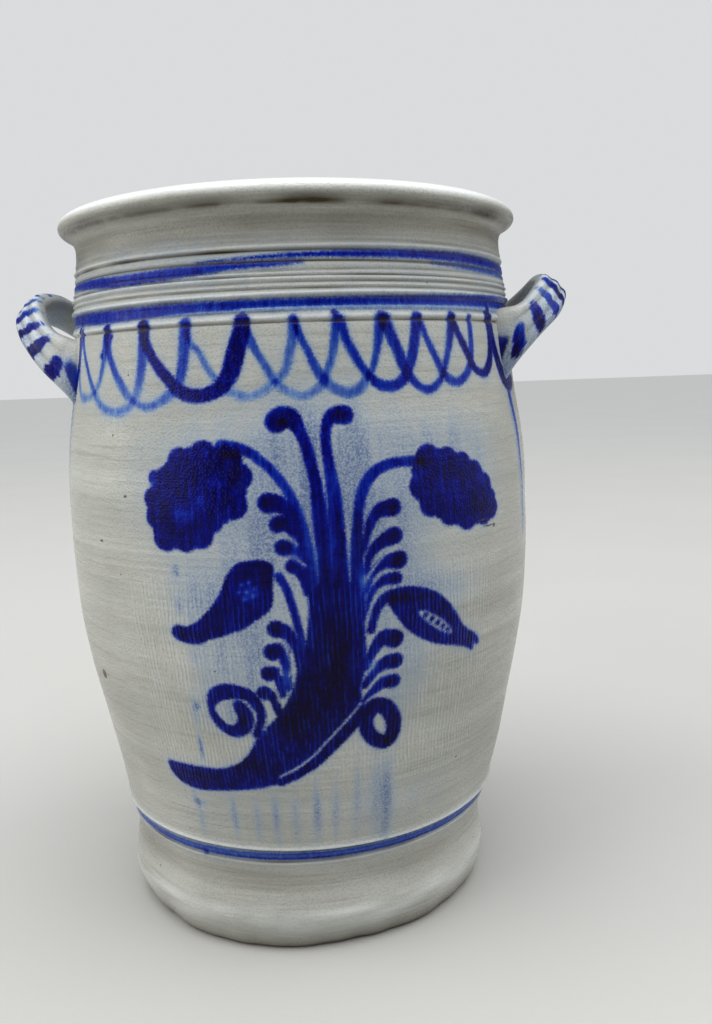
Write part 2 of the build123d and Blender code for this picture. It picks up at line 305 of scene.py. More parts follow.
# Thin blue washes and runs: (s, z, radius round, radius up, strength)
HAZE = [
    (-60, 297, 34, 38, 0.3), (98, 294, 40, 30, 0.34), (96, 320, 34, 18, 0.22), (20, 300, 30, 42, 0.36),
    (24, 345, 40, 20, 0.15), (50, 262, 20, 34, 0.4), (-6, 262, 22, 36, 0.35), (-22, 205, 28, 40, 0.34),
    (62, 190, 26, 40, 0.22), (84, 232, 34, 16, 0.3), (-44, 238, 26, 20, 0.3), (8, 320, 60, 18, 0.22),
    (52, 104, 8, 30, 0.42), (57, 94, 4, 26, 0.3), (-38, 168, 22, 16, 0.25), (-36, 205, 22, 40, 0.24),
    (62, 200, 20, 46, 0.2), (12, 285, 50, 60, 0.24), (10, 98, 66, 26, 0.08), (80, 96, 40, 22, 0.14),
    (-70, 96, 34, 20, 0.12), (-62, 142, 2, 9, 0.62), (-61, 168, 2, 10, 0.3), (-58.5, 170, 2, 2.4, 0.5),
    (-57, 202, 2.6, 7, 0.3), (-62, 232, 2.2, 5, 0.42), (-62, 252, 2.2, 4, 0.4),
    (-73, 102, 3, 2.6, 0.75), (-67.5, 102, 2.2, 2.2, 0.6), (-72, 88, 2.6, 14, 0.34),
    (-75, 107, 2.4, 7, 0.3), (-46, 96, 2.6, 18, 0.34), (-30, 94, 3, 20, 0.36), (-17, 94, 3, 22, 0.4),
    (-4, 96, 3.4, 22, 0.42), (10, 100, 3, 24, 0.4), (22, 104, 3, 26, 0.36), (36, 108, 3, 26, 0.32),
    (180, 300, 5, 34, 0.6), (176, 335, 6, 16, 0.6), (180, 268, 3.4, 16, 0.45), (-180, 330, 6, 20, 0.5),
    (-178, 300, 3.5, 22, 0.3),
]
# Brown and dark marks: (s, z, radius round, radius up, strength)
STAINS = [
    (-146, 174, 3.6, 3, 1), (-139, 175, 2, 1.4, 0.6), (-148, 171, 5, 3, 0.35),
    (-95, 293, 1.8, 1.2, 0.8), (-119, 265, 2.2, 1.2, 0.8), (-108, 283, 1.6, 2.2, 0.35),
    (131.5, 264, 1.4, 1, 0.9), (-44, 193, 1.3, 1, 0.8), (113.5, 116, 1.7, 1, 0.8),
    (10, 101, 1.6, 1.6, 0.5), (-5, 86, 3.6, 3, 0.4), (-69, 50, 1.6, 0.9, 0.8), (-16, 56, 1.3, 0.8, 0.7),
    (27, 95, 1.2, 1, 0.6), (60, 330, 1.4, 1.2, 0.5), (128, 341, 1.3, 1.2, 0.6),
    (119, 269, 8, 1.0, 0.62), (126, 264.5, 8, 1.0, 0.7), (117, 260, 5, 0.9, 0.5),
    (131, 257, 7, 0.9, 0.6),
]


# A handle's front foot and the run below it, at +X; the other feet mirror them.
FOOT_STROKE = [
    (153, 398, 2), (152.5, 388, 3), (153.5, 378, 3.6), (156.5, 368, 4.1), (162, 359, 4.6),
    (170, 351, 5.2), (180, 348, 5), (191, 350, 4),
]
FOOT_RUN = [
    (175, 350, 4), (178, 335, 3.2), (182, 315, 2.6), (183, 295, 1.8), (184, 270, 1.3), (185, 250, 0.8),
]
BACK_FROM, BACK_TO = 300, 590     # where the garland on the back begins and its last loop starts
# Short touches of a loaded brush.
BLOTS = [
    [(31.7, 391.2, 1.8), (32.6, 390.6, 1.8)],
    [(-120.5, 373.5, 1.9), (-120, 374, 1.6)],
    [(-110.5, 383.5, 1.8), (-110.2, 384, 1.6)],
]
# The almond leaf's light slit: its middle, its turn in degrees, its half length and half width, and
# the places along it of the dots.
SLIT_S, SLIT_Z, SLIT_TURN, SLIT_LONG, SLIT_WIDE = 84, 213.5, 36, 15, 3.1
SLIT_DOTS = [-9.5, -4.4, 0.8, 6.0, 10.6]


def foot_strokes(side):
    """Cobalt drawn round the two feet of a handle, and its run down the wall."""
    middle = math.pi / 2 * PAINT_R
    front, run = FOOT_STROKE, FOOT_RUN
    if side < 0:
        front = [(s + 4, z, w * 0.65) for s, z, w in front]
        run = [(s + 5, z + 22, w * 0.4) for s, z, w in run]
    strokes = []
    for mirror in (1, -1):
        for tone, knots in ((SOLID, front), (0.62, run)):
            placed = [(middle + mirror * (s - middle), z, w) for s, z, w in knots]
            strokes.append((tone, [(side * s, z, w) for s, z, w in placed]))
    return strokes


def back_loops():
    """The same looped garland carried on round the back of the pot."""
    rng = np.random.default_rng(5)
    strokes = []
    s = float(BACK_FROM)
    while s < BACK_TO:
        wide = rng.uniform(25, 30)
        low, deep, tone = rng.uniform(346, 352), rng.uniform(1.6, 3.6), rng.uniform(0.4, 0.9)
        strokes.append((tone, [
            (s, HANG_Z - 2, deep), (s + 4, 372, deep * 0.9), (s + 12, 358, deep * 0.75),
            (s + 22, low, deep * 0.6), (s + 33, low + 1, deep * 0.7), (s + wide + 14, 359, deep),
            (s + wide + 20, 374, deep * 1.1), (s + wide + 22, HANG_Z, deep * 1.15),
        ]))
        s += wide
    return strokes


# ---------------------- painting: fields over the wall
FAR = -14.0               # depth (mm) given to places away from every stroke


class Field:
    """Paint over a grid of the wall: signed depth inside the strokes (mm), tone, and laid ink."""

    def __init__(self, s, z):
        self.s, self.z = s, z
        shape = (len(z), len(s))
        self.depth = np.full(shape, FAR)
        self.tone = np.full(shape, 0.5)
        self.ink = np.zeros(shape)

    def window(self, s0, s1, z0, z1, pad=-FAR):
        """The part of the grid that something between these limits can reach."""
        i0, i1 = np.searchsorted(self.z, [z0 - pad, z1 + pad])
        j0, j1 = np.searchsorted(self.s, [s0 - pad, s1 + pad])
        return slice(i0, i1), slice(j0, j1)

    def patch(self, p):
        """The window round the knots, with its grid of s and z."""
        w = self.window(p[:, 0].min(), p[:, 0].max(), p[:, 1].min(), p[:, 1].max())
        return w, *np.meshgrid(self.s[w[1]], self.z[w[0]])

    def line(self, knots):
        """Signed depth inside a round-ended line of changing width, with the window it fills."""
        p = np.array(knots, float)
        w, S, Z = self.patch(p)
        best = np.full(S.shape, FAR)
        for a, b in zip(p, p[1:]):
            share, away = to_piece(S, Z, a, b)
            best = np.maximum(best, a[2] + (b[2] - a[2]) * share - away)
        return w, best

    def shape(self, knots):
        """Signed depth inside a closed outline."""
        p = np.array(knots, float)
        w, S, Z = self.patch(p)
        inside = np.zeros(S.shape, bool)
        nearest = np.full(S.shape, 1e9)
        for a, b in zip(p, np.roll(p, -1, 0)):
            nearest = np.minimum(nearest, to_piece(S, Z, a, b)[1])
            crosses = (a[1] > Z) != (b[1] > Z)
            with np.errstate(divide="ignore", invalid="ignore"):
                at = a[0] + (Z - a[1]) * (b[0] - a[0]) / (b[1] - a[1])
            inside ^= crosses & (S < at)
        return w, np.where(inside, nearest, -nearest)

    def lay(self, found, tone, piled=False):
        """Put paint down; piled strokes are thin enough to darken each other where they cross."""
        w, deep = found
        laid = tone * steps((deep + 0.4) / 1.2)
        self.tone[w] = np.where(deep > self.depth[w], tone, self.tone[w])
        self.depth[w] = np.maximum(self.depth[w], deep)
        self.ink[w] = 1 - (1 - self.ink[w]) * (1 - laid) if piled else np.maximum(self.ink[w], laid)

    def brush(self, knots, tone):
        self.lay(self.line(through(knots, 5)), tone)

    def garland(self, knots, tone):
        """One loop of the garland: deeper toward the line it hangs from, faint ones spread below."""
        w, deep = self.line(through(knots, 5))
        high = steps((self.z[w[0]] - 368) / 18)[:, None]
        low = steps((364 - self.z[w[0]]) / 14)[:, None] * (tone < 0.7)
        mild = 0.07 * steps((tone - 0.6) / 0.12) * steps((0.84 - tone) / 0.06)
        toned = tone - mild + (0.86 - tone) * 0.3 * high - 0.17 * low
        self.lay((w, deep + 0.8 * low), toned, piled=True)

    def leave(self, knots, half=0.7):
        """A thin light line between two strokes, with a breath of blue left in it."""
        w, deep = self.line(through([(s, z, half) for s, z in knots], 5))
        self.depth[w] = np.minimum(self.depth[w], np.maximum(-deep, -0.45))

    def clouds(self, places):
        """Soft patches laid over each other: (s, z, radius round, radius up, strength)."""
        total = np.zeros(self.depth.shape)
        for s, z, rs, rz, strength in places:
            w = self.window(s, s, z, z, 3.2 * max(rs, rz))
            S, Z = np.meshgrid(self.s[w[1]], self.z[w[0]])
            add = strength * bell(S, s, rs) * bell(Z, z, rz)
            total[w] = 1 - (1 - total[w]) * (1 - add)
        return total


def to_piece(S, Z, a, b):
    """Share along the straight piece from a to b of each point's nearest place, and its distance."""
    along = b[:2] - a[:2]
    share = ((S - a[0]) * along[0] + (Z - a[1]) * along[1]) / max(along @ along, 1e-9)
    share = np.clip(share, 0, 1)
    return share, np.hypot(S - a[0] - share * along[0], Z - a[1] - share * along[1])


def draw_garland(f):
    around = 2 * math.pi * PAINT_R
    for shift in (0, -around):
        for tone, knots in back_loops():
            f.garland([(s + shift, z, w) for s, z, w in knots], tone)
    for tone, knots in LOOPS:
        start, height, wide = knots[0]
        top = max((s for s in LOOP_TOPS if s < start + 3), default=None)
        if top is not None and height < HANG_Z - 2:
            knots = [(top + 0.8, HANG_Z - 1, wide * 1.1), *knots]
        f.garland(knots, tone)
    for blot in BLOTS:
        f.brush(blot, SOLID)


def draw_flower(f, petals):
    """A scalloped flower head: its filled middle, a lobe at each petal and one between two petals."""
    f.lay(f.shape([(s, z) for s, z, _ in petals]), SOLID)
    for (a, b, c), (d, e, g) in zip(petals, petals[1:] + petals[:1]):
        for s, z, wide in ((a, b, c), ((a + d) / 2, (b + e) / 2, (c + g) / 2.5)):
            f.brush([(s, z, wide), (s + 0.2, z, wide)], STROKE)


def draw_spray(f):
    """The flower spray on the front: trunk, leaves, flowers, stems and drops."""
    f.lay(f.shape(closed(TRUNK)), STROKE)
    f.lay(f.shape(closed(PAISLEY)), SOLID)
    f.lay(f.shape(closed(ALMOND, 4)), SOLID)
    for flower in (LEFT_FLOWER, RIGHT_FLOWER):
        draw_flower(f, flower)
    for tone, knots in STEMS:
        f.brush(knots, tone)
    for drop in DROPS:
        f.brush(drop, STROKE)


def draw_slit(f):
    """The almond leaf's light slit and the row of dots in it."""
    c, d = math.cos(math.radians(SLIT_TURN)), math.sin(math.radians(SLIT_TURN))

    def at(along, across=0.0):
        return SLIT_S + along * c + across * d, SLIT_Z - along * d + across * c

    round_slit = np.arange(16) * math.pi / 8
    w, deep = f.shape([at(SLIT_LONG * math.cos(a), SLIT_WIDE * math.sin(a)) for a in round_slit])
    f.depth[w] = np.minimum(f.depth[w], np.maximum(-deep, -0.8))
    for along in SLIT_DOTS:
        s, z = at(along)
        f.brush([(s, z, 1.5), (s + 0.4, z - 0.2, 1.5)], 0.8)


def painted(s, z):
    """All the wall's paint on the grid of s and z."""
    f = Field(s, z)
    draw_garland(f)
    for side in (-1, 1):
        for tone, knots in foot_strokes(side):
            f.brush(knots, tone)
    draw_spray(f)
    for tone, knots in BANDS:
        f.brush(knots, tone)
    for gap in GAPS:
        f.leave(gap)
    draw_slit(f)
    thin = f.clouds(THIN)
    f.tone = np.maximum(f.ink, f.tone) - 0.55 * thin
    S, Z = np.meshgrid(s, z)
    for height, half, strength in RING_LINES:
        uneven = 0.8 + 0.3 * waves(np.cos(S / PAINT_R) * 3, np.sin(S / PAINT_R) * 3 + height, 83)
        f.tone += 0.45 * strength * uneven * bell(Z, height + 0.3 * np.sin(S / PAINT_R + 1), half)
    f.pool = f.clouds(POOLS) - 0.7 * thin
    f.haze = f.clouds(HAZE)
    f.stain = f.clouds(STAINS)
    return f


# ---------------------- pot mesh
# (height, radius) of the outside below the rim, and of the rim and inside as (radius, height).
OUTSIDE = [
    (0, 118.4), (2.4, 121.2), (6, 123.6), (11, 125.6), (18, 127.5), (25, 127.9), (35, 126.2),
    (46, 124.8), (57, 126.6), (63, 128.2), (70, 130.9), (78, 132.9), (95, 136.4), (130, 143.4),
    (170, 151.4), (210, 156.7), (250, 158.5), (270, 158.6), (290, 158.1), (320, 155.2), (345, 151.1),
    (365, 149), (385, 147.1), (405, 145), (428, 142.7), (434, 142),
]
RIM = [
    (142, 434), (141.6, 439), (141.8, 443), (143, 446.4), (145.2, 449), (147.8, 450.6), (150, 451.8),
    (151.3, 453.2), (151.7, 454.8), (151.2, 456.8), (149.8, 458.8), (147.4, 460.5), (144.4, 461.6),
    (140.8, 462), (137, 460.9), (133.8, 458.2), (131.5, 453.8), (130.3, 448), (130, 442),
]
INSIDE = [
    (130, 442), (130, 425), (130, 408), (130.2, 392), (132.4, 374), (138.2, 345), (143, 305),
    (145.2, 262), (143, 212), (137.8, 170), (130.6, 132), (123.4, 103), (118.4, 76), (115.6, 52),
    (113.6, 38), (109.6, 26), (102, 18.6), (92, 16.2), (70, 16), (45, 16), (20, 16), (6, 16),
]
# Underside, from near its middle out to the foot's edge: (radius, height)
UNDERSIDE = [
    (20, 2.2), (60, 2.2), (100, 1.8), (108, 0.8), (112, 0.1), (115, 0), (117.6, 0.2), (119.4, 0.8),
    (121.2, 2.2),
]
# Turned lines: (height, raised or cut in, half width)
TURNINGS = [
    (61.9, 0.6, 0.7), (63.6, -1.0, 0.7), (67.4, -0.7, 2.6), (71.4, -1.0, 0.7), (73.8, 1.2, 1.0),
    (78.0, -0.4, 1.6), (386.9, -1.2, 0.7), (389.4, 0.7, 1.0), (392.3, -0.8, 0.6), (396, -0.9, 3),
    (399.7, -0.9, 0.6), (402, 1.5, 0.9), (404.4, -0.9, 0.7), (406.4, 0.5, 0.7), (408, -0.8, 0.6),
    (409.8, 0.9, 0.7), (411.4, -0.9, 0.6), (412.8, 0.6, 0.6), (414.4, -0.7, 0.6), (425, -1.5, 0.7),
    (427.2, 0.9, 0.9), (429.6, -0.5, 0.7), (431.5, 0.3, 0.8),
]
# Darker lines in the turned grooves: (height, half width, strength)
DARK_LINES = [
    (63.1, 0.7, 0.8), (71.6, 0.7, 0.75), (386.8, 0.8, 0.8), (392.3, 0.6, 0.65), (399.7, 0.7, 0.6),
    (404.4, 0.7, 0.45), (408, 0.6, 0.5), (411.4, 0.7, 0.6), (414.4, 0.6, 0.5), (425, 0.9, 1),
    (429.6, 0.6, 0.4),
]
# Round the pot and up its side: (from, to, spacing) in s and in height, closest where it is painted.
EDGE = math.pi * PAINT_R
COLUMNS = [(-EDGE, -166, 2.3), (-166, -100, 1.7), (-100, 134, 1.3), (134, 166, 1.7), (166, EDGE, 2.3)]
ROWS = [
    (4, 60, 4.5), (60, 79, 0.95), (79, 108, 2.2), (108, 345, 1.4), (345, 385, 1.6), (385, 430, 0.85),
    (430, 434, 1.3),
]
OUTER = through(OUTSIDE, 12)
FOOT_TOP, FOOT_LEAN = 112, 4.2    # below this height the pot leans this much to the left


def wall_radius(z):
    """Radius of the outside below the rim."""
    return np.interp(z, OUTER[:, 0], OUTER[:, 1])


def columns():
    """Places round the pot, each stretch divided evenly."""
    parts = []
    for start, end, gap in COLUMNS:
        count = round((end - start) / gap)
        parts.append(np.arange(count) * (end - start) / count + start)
    return np.concatenate(parts)


class PotGrid:
    """Columns round the pot, and rows of (radius, height) from underside over the rim to the floor."""

    def __init__(self):
        self.s = columns()
        self.angle = self.s / PAINT_R
        self.z_side = np.concatenate([np.arange(*part) for part in ROWS])
        side = np.column_stack([wall_radius(self.z_side), self.z_side])
        rim, inside = through(RIM, 2)[1:], through(INSIDE, 3)[1:]
        self.rows = np.vstack([UNDERSIDE, side, rim, inside])
        self.side = slice(len(UNDERSIDE), len(UNDERSIDE) + len(side))
        above = self.side.stop
        self.lip = slice(above, above + int(np.argmax(rim[:, 0])))        # up to the rim's widest
        self.outer_rim = slice(above, above + int(np.argmax(rim[:, 1])))  # up to its highest

    def blank(self, value=0.0):
        return np.full((len(self.rows), len(self.s)), float(value))


def wander(height, A):
    """How far the turned line at this height strays up and down round the pot."""
    return 0.35 * np.sin(A + height) + 0.2 * np.sin(2 * A + 2 * height)


def dipping(A):
    """Height of the neck's groove that dips toward the right."""
    return 419.1 - 0.9 * np.sin(A)


def shape_pot(grid):
    """Radius, height and angle of every point, with turned lines, throwing marks and dents."""
    R = grid.blank() + grid.rows[:, :1]
    Z = grid.blank() + grid.rows[:, 1:]
    A = grid.blank() + grid.angle
    side, under = grid.side, slice(0, grid.side.start)
    zs, As = Z[side], A[side]
    for height, size, half in TURNINGS:
        R[side] += size * bell(zs, height + wander(height, As), half)
    R[side] -= 1.3 * bell(zs, dipping(As), 0.7)
    # fine rings all the way up, and a slow unevenness of the wall
    R[side] += 0.10 * np.sin(zs * 1.35 + 2 * np.sin(As * 2)) * waves(zs * 0.02, As * 0.4, 3)
    R[side] += 0.45 * waves(zs / 40, np.cos(As) * 2, 11) * steps(zs / 60)
    # the foot sits a little to the left of the neck, and its edge is pressed and dented
    low = grid.blank()
    low[side] = steps((FOOT_TOP - zs) / 90)
    low[under] = steps((FOOT_TOP - Z[under]) / 90) * steps((R[under] - 90) / 30)
    R += low * (-FOOT_LEAN * np.sin(A) + waves(np.cos(A) * 2.5, np.sin(A) * 2.5, 7))
    uneven = 0.8 * waves(np.cos(A) * 6, np.sin(A) * 6, 21) - 1.6 * bell(A, -0.9, 0.25)
    uneven -= 1.2 * bell(A, 0.35, 0.3)
    R += (low > 0) * steps((26 - Z) / 26) * uneven
    R -= (low > 0) * bell(Z, 24, 5) * (1.3 * bell(A, -0.3, 0.06) + 0.9 * bell(A, -0.12, 0.05))
    R += (R > 128) * steps((Z - 446) / 12) * 0.18 * waves(np.cos(A) * 3, np.sin(A) * 3, 17)
    return R, Z, A


def ring_quads(rows, around):
    """Quads between one closed ring of points and the next."""
    i, j = np.meshgrid(np.arange(rows - 1), np.arange(around), indexing="ij")
    k = (j + 1) % around
    corners = (i * around + j, i * around + k, (i + 1) * around + k, (i + 1) * around + j)
    return [tuple(quad) for quad in np.stack(corners, -1).reshape(-1, 4)]


def side_darkening(zs, As):
    """Darker turned lines and neck groove, darker olive bands at the foot's waist and above the ring,
    and painted grey shade over the neck under the lip.
    """
    dirt_and_shade = 0.8 * bell(zs, dipping(As), 0.7)
    for height, half, strength in DARK_LINES:
        patchy = 0.75 + 0.35 * waves(np.cos(As) * 5 + height, np.sin(As) * 5, 31)
        dirt_and_shade = np.maximum(dirt_and_shade, strength * patchy * bell(zs, height + wander(height, As), half))
    soft = 0.8 + 0.25 * waves(np.cos(As) * 3, np.sin(As) * 3 + zs * 0.04, 91)
    dirt_and_shade = np.maximum(dirt_and_shade, soft * (0.22 * bell(zs, 49, 12) + 0.1 * bell(zs, 90, 12)))
    # painted shade over the neck, growing up toward the lip
    return np.maximum(dirt_and_shade, 0.4 * soft * steps((zs - 422) / 12))


def lip_shade_and_stain(grid):
    """Painted shade under the lip, and a broken brown line along its lower edge, strongest in front."""
    angle, z = grid.angle[None], grid.rows[grid.lip, 1:]
    patchy = 0.8 + 0.35 * waves(np.cos(angle) * 4, np.sin(angle) * 4, 41)
    shade = 0.42 * patchy * bell(z, 450.5, 2.8)
    shade = shade + 0.47 * (0.85 + 0.15 * patchy[:, ::-1]) * bell(z, 440, 9)
    broken = 0.3 + 0.7 * steps(waves(np.cos(angle) * 14, np.sin(angle) * 14, 43) / 1.8 + 0.6)
    front = 0.35 + 0.65 * bell(angle, 0.15, 0.6)
    return shade + 0.52 * broken * front * bell(z, 449.2, 1.0)


def thin_glaze_and_highlights(grid, zs, As):
    """Pale raised places, partly thin glaze and partly painted highlight: the turned ridges, the
    swelling of the foot and the top of the rim.
    """
    pale = grid.blank()
    for height, size, half in TURNINGS:
        raised = min(max(size, 0), 0.9) * 0.7
        pale[grid.side] += raised * bell(zs, height + wander(height, As), half * 0.9)
    # painted highlight along the swelling of the foot
    pale[grid.side] += 0.42 * bell(zs, 23, 7) * (0.7 + 0.4 * waves(As * 3, zs * 0.2, 61))
    # painted highlight over a lighter glaze along the top of the rim
    pale[grid.outer_rim] = bell(grid.rows[grid.outer_rim, 1:], 458.8, 2.8)
    return np.clip(pale, 0, 1)


def pot_fields(grid, Z, A):
    """What the glaze reads at every point of the grid."""
    side, lip, s, z = grid.side, grid.lip, grid.s[None], grid.z_side[:, None]
    zs, As = Z[side], A[side]
    paint = painted(grid.s, grid.z_side)
    fields = {name: grid.blank() for name in ("pool", "haze", "stain", "dirt_and_shade", "ribs", "inner", "bare_and_shade")}
    fields["depth"], fields["tone"] = grid.blank(FAR), grid.blank(0.5)
    for name in ("depth", "tone", "pool", "haze", "stain"):
        fields[name][side] = getattr(paint, name)
    # blue-grey cobalt breath over the neck, partly standing in for painted shade under the lip
    breath = 0.8 + 0.3 * waves(np.cos(As) * 4, np.sin(As) * 4 + zs * 0.05, 71)
    fields["haze"][side] += 0.17 * steps((zs - 396) / 14) * breath
    # darker turned lines, painted shade on the neck and under the lip, and a brown line along the lip
    fields["dirt_and_shade"][side] = side_darkening(zs, As)
    fields["dirt_and_shade"][lip] = lip_shade_and_stain(grid)
    fields["pale"] = thin_glaze_and_highlights(grid, zs, As)
    # ribs on the lower front, a browner glaze inside, and unglazed clay at the foot's edge, darkened
    # partly as painted shade by the floor
    ribbed = steps((s + 112) / 22) * steps((142 - s) / 22)
    fields["ribs"][side] = ribbed * steps((z - 104) / 26) * steps((262 - z) / 30)
    mouth = grid.outer_rim.stop
    fields["inner"][mouth:] = steps(np.arange(len(grid.rows) - mouth) / 9)[:, None]
    fields["bare_and_shade"][: side.stop] = steps((13 - grid.rows[: side.stop, 1:]) / 11)
    return fields


def pot_mesh():
    """Points, faces and fields of the pot, closed at the middle of its underside and its floor."""
    grid = PotGrid()
    R, Z, A = shape_pot(grid)
    points = np.stack([R * np.sin(A), -R * np.cos(A), Z], -1).reshape(-1, 3)
    rows, around = R.shape
    under, floor, last = rows * around, rows * around + 1, (rows - 1) * around
    faces = ring_quads(rows, around)
    faces += [(under, (c + 1) % around, c) for c in range(around)]
    faces += [(floor, last + c, last + (c + 1) % around) for c in range(around)]
    fields = {
        name: np.append(values.ravel(), [values[0, 0], values[-1, 0]])
        for name, values in pot_fields(grid, Z, A).items()
    }
    return np.vstack([points, [[0, 0, UNDERSIDE[0][1]]], [[0, 0, INSIDE[-1][1]]]]) * MM, faces, fields


def new_mesh(name, points, faces, fields):
    mesh = bpy.data.meshes.new(name)
    mesh.from_pydata([tuple(p) for p in points], [], [tuple(int(i) for i in f) for f in faces])
    mesh.polygons.foreach_set("use_smooth", np.ones(len(mesh.polygons), bool))
    for key, values in fields.items():
        attribute = mesh.attributes.new(key, "FLOAT", "POINT")
        attribute.data.foreach_set("value", np.asarray(values, np.float32))
    mesh.update()
    piece = bpy.data.objects.new(name, mesh)
    bpy.context.scene.collection.objects.link(piece)
    return piece


# ---------------------- handles
ROOT_X, ROOT_Z = 139.0, 368.0     # middle of a handle's loop, just inside the wall
LOOP_R = 57.0                     # middle of the strap
TILT = 48.0                       # the loops rise away from the pot, in degrees
SWEEP = 108                       # degrees of loop to each side of its outermost point
ACROSS, RINGS = 56, 160           # points round the strap and sections along it
HALF_WIDE, HALF_THICK = 11.7, 6.9         # of the strap's section, a rounded rectangle
SPREAD_WIDE, SPREAD_THICK = 7.5, 2.6      # what its pressed feet have more
FOOT_RISE = 9                     # and how far they are pushed up the wall
SQUARENESS = 2.0 / 2.55           # power that rounds the section's corners
UNPAINTED = -12.0                 # depth (mm) given to a strap away from its stripes
FOOT_DROP = 0.17                  # the left handle was pressed on with its front foot lower
# Cobalt over the outer face of a strap: (degrees from its middle, across from, across to, half width)
STRIPES = [
    (-82, -14, 3, 5), (-63, -15, 7, 4.4), (-46, -15, 9, 3.6), (-31, -15, 10, 3.6), (-17, -15, 10, 3.2),
    (-4, -14, 10, 3), (10, -14, 10, 3.2), (25, -15, 10, 3.4), (41, -15, 9, 3.6), (60, -15, 7, 4.4),
    (82, -13, 4, 5),
]


def strap(side):
    """A pulled strap, ridged along its length, its two feet spread and pressed on the wall.

    Gives its points, and for each of them the degrees along the strap, the way across it, how far it
    is from the wall, the height of its ridge and whether it is on the outer face."""
    tilt = math.radians(TILT)
    out = np.array([side * math.cos(tilt), 0, math.sin(tilt)])
    up = np.array([-side * math.sin(tilt), 0, math.cos(tilt)])
    back, high = np.array([0, 1.0, 0]), np.array([0, 0, 1.0])
    ring = np.arange(ACROSS) * 2 * math.pi / ACROSS
    c, s = np.cos(ring), np.sin(ring)
    rounded_c = np.sign(c) * np.abs(c) ** SQUARENESS
    rounded_s = np.sign(s) * np.abs(s) ** SQUARENESS
    sections = []
    for t in np.linspace(-SWEEP, SWEEP, RINGS):
        a = math.radians(t)
        thick_way = math.cos(a) * out + math.sin(a) * back
        centre = np.array([side * ROOT_X, 0, ROOT_Z]) + LOOP_R * thick_way
        if side < 0:
            centre[2] += FOOT_DROP * centre[1]
        away = math.hypot(centre[0], centre[1]) - wall_radius(centre[2])
        near = float(steps((28 - away) / 30))
        flare = min(1.4, max(0.0, 1 - max(away, -3) / 22) ** 2.0)
        centre = centre + high * FOOT_RISE * near
        # near the wall the strap's width turns upright
        wide_way = up * (1 - 0.8 * near) + high * 0.8 * near
        wide_way -= thick_way * (wide_way @ thick_way)
        wide_way /= np.linalg.norm(wide_way)
        half_wide = HALF_WIDE + 0.5 * side + 0.4 * math.sin(3 * a + side) + SPREAD_WIDE * flare
        half_thick = HALF_THICK + 0.3 * math.sin(2.3 * a) + SPREAD_THICK * flare
        # finger ridges along the outside, and the unevenness of a pulled strap
        ridge = 0.5 * np.cos(rounded_s * 8.6 + 0.6 * math.sin(2 * a)) * (c > 0.05)
        ridge *= 1 - 0.4 * min(flare, 1)
        bump = 0.35 * np.sin(t * 0.19 + 5 * side + 1.5 * rounded_s)
        bump += 0.22 * np.sin(t * 0.47 + 2 * rounded_s)
        u = rounded_c * (half_thick + ridge + bump * 0.7)
        v = rounded_s * (half_wide + 0.4 * np.sin(t * 0.13 + side))
        places = centre + u[:, None] * thick_way + v[:, None] * wide_way
        from_wall = away + 0.5 * flare * np.abs(v)
        sections.append((places, np.full(ACROSS, t), v, from_wall, ridge, c))
    return [np.concatenate(values) for values in zip(*sections)]


def strap_depth(side, at, across, away, outer):
    """Cobalt on a strap: stripes over its outer face and a line round its feet."""
    depth = np.full(len(at), UNPAINTED)
    for number, (t, low, high, half) in enumerate(STRIPES):
        if side > 0:
            low, half = low + 4 * (abs(t) < 70), half + 0.5
        lean = 0.36 * side + 0.1 * math.sin(number * 2.1)
        spread = (low + high) / 2
        if high - low > 2 * half:
            spread = np.clip(across, low + half, high - half)
        gap = np.hypot(at - t - lean * across, (across - spread) * 0.9)
        depth = np.maximum(depth, half - gap + 0.9 * waves(at * 0.1, across * 0.75, 51 + number))
    depth = np.where(outer > -0.1, depth, UNPAINTED)
    foot_edge = np.minimum(1.8 - side - away, 4 - 0.6 * across)
    return np.maximum(depth, np.clip(foot_edge, UNPAINTED, 3))


def handle_mesh(side):
    """Points, faces and fields of one handle."""
    points, at, across, away, ridge, outer = strap(side)
    faces = ring_quads(RINGS, ACROSS)
    faces += [tuple(range(ACROSS - 1, -1, -1)), tuple(range((RINGS - 1) * ACROSS, RINGS * ACROSS))]
    if side < 0:
        faces = [face[::-1] for face in faces]
    depth = strap_depth(side, at, across, away, outer)
    fields = {name: np.zeros(len(points)) for name in ("stain", "inner", "ribs", "bare_and_shade")}
    fields["depth"] = depth
    fields["tone"] = 0.74 + 0.14 * np.sin(at * 0.13 + points[:, 0] * 0.1) - 0.016 * across
    fields["pool"] = 0.6 * steps((depth - 1.2) / 2.6) * (0.5 + 0.5 * np.sin(at * 0.35 + 1))
    fields["haze"] = 0.2 + 0.3 * steps((16 - away) / 18) + 0.12 * np.sin(at * 0.09) - 0.014 * across
    # painted highlight, partly thin glaze, along the strap's ridges away from the wall
    fields["pale"] = 0.5 * steps(ridge / 0.35) * steps((away - 6) / 14)
    # darker where the strap meets the wall and in the grooves between its ridges
    fields["dirt_and_shade"] = 0.35 * bell(away, 0.5, 1.2) + 0.35 * steps((-0.3 - ridge) / 0.2)
    return points * MM, faces, fields


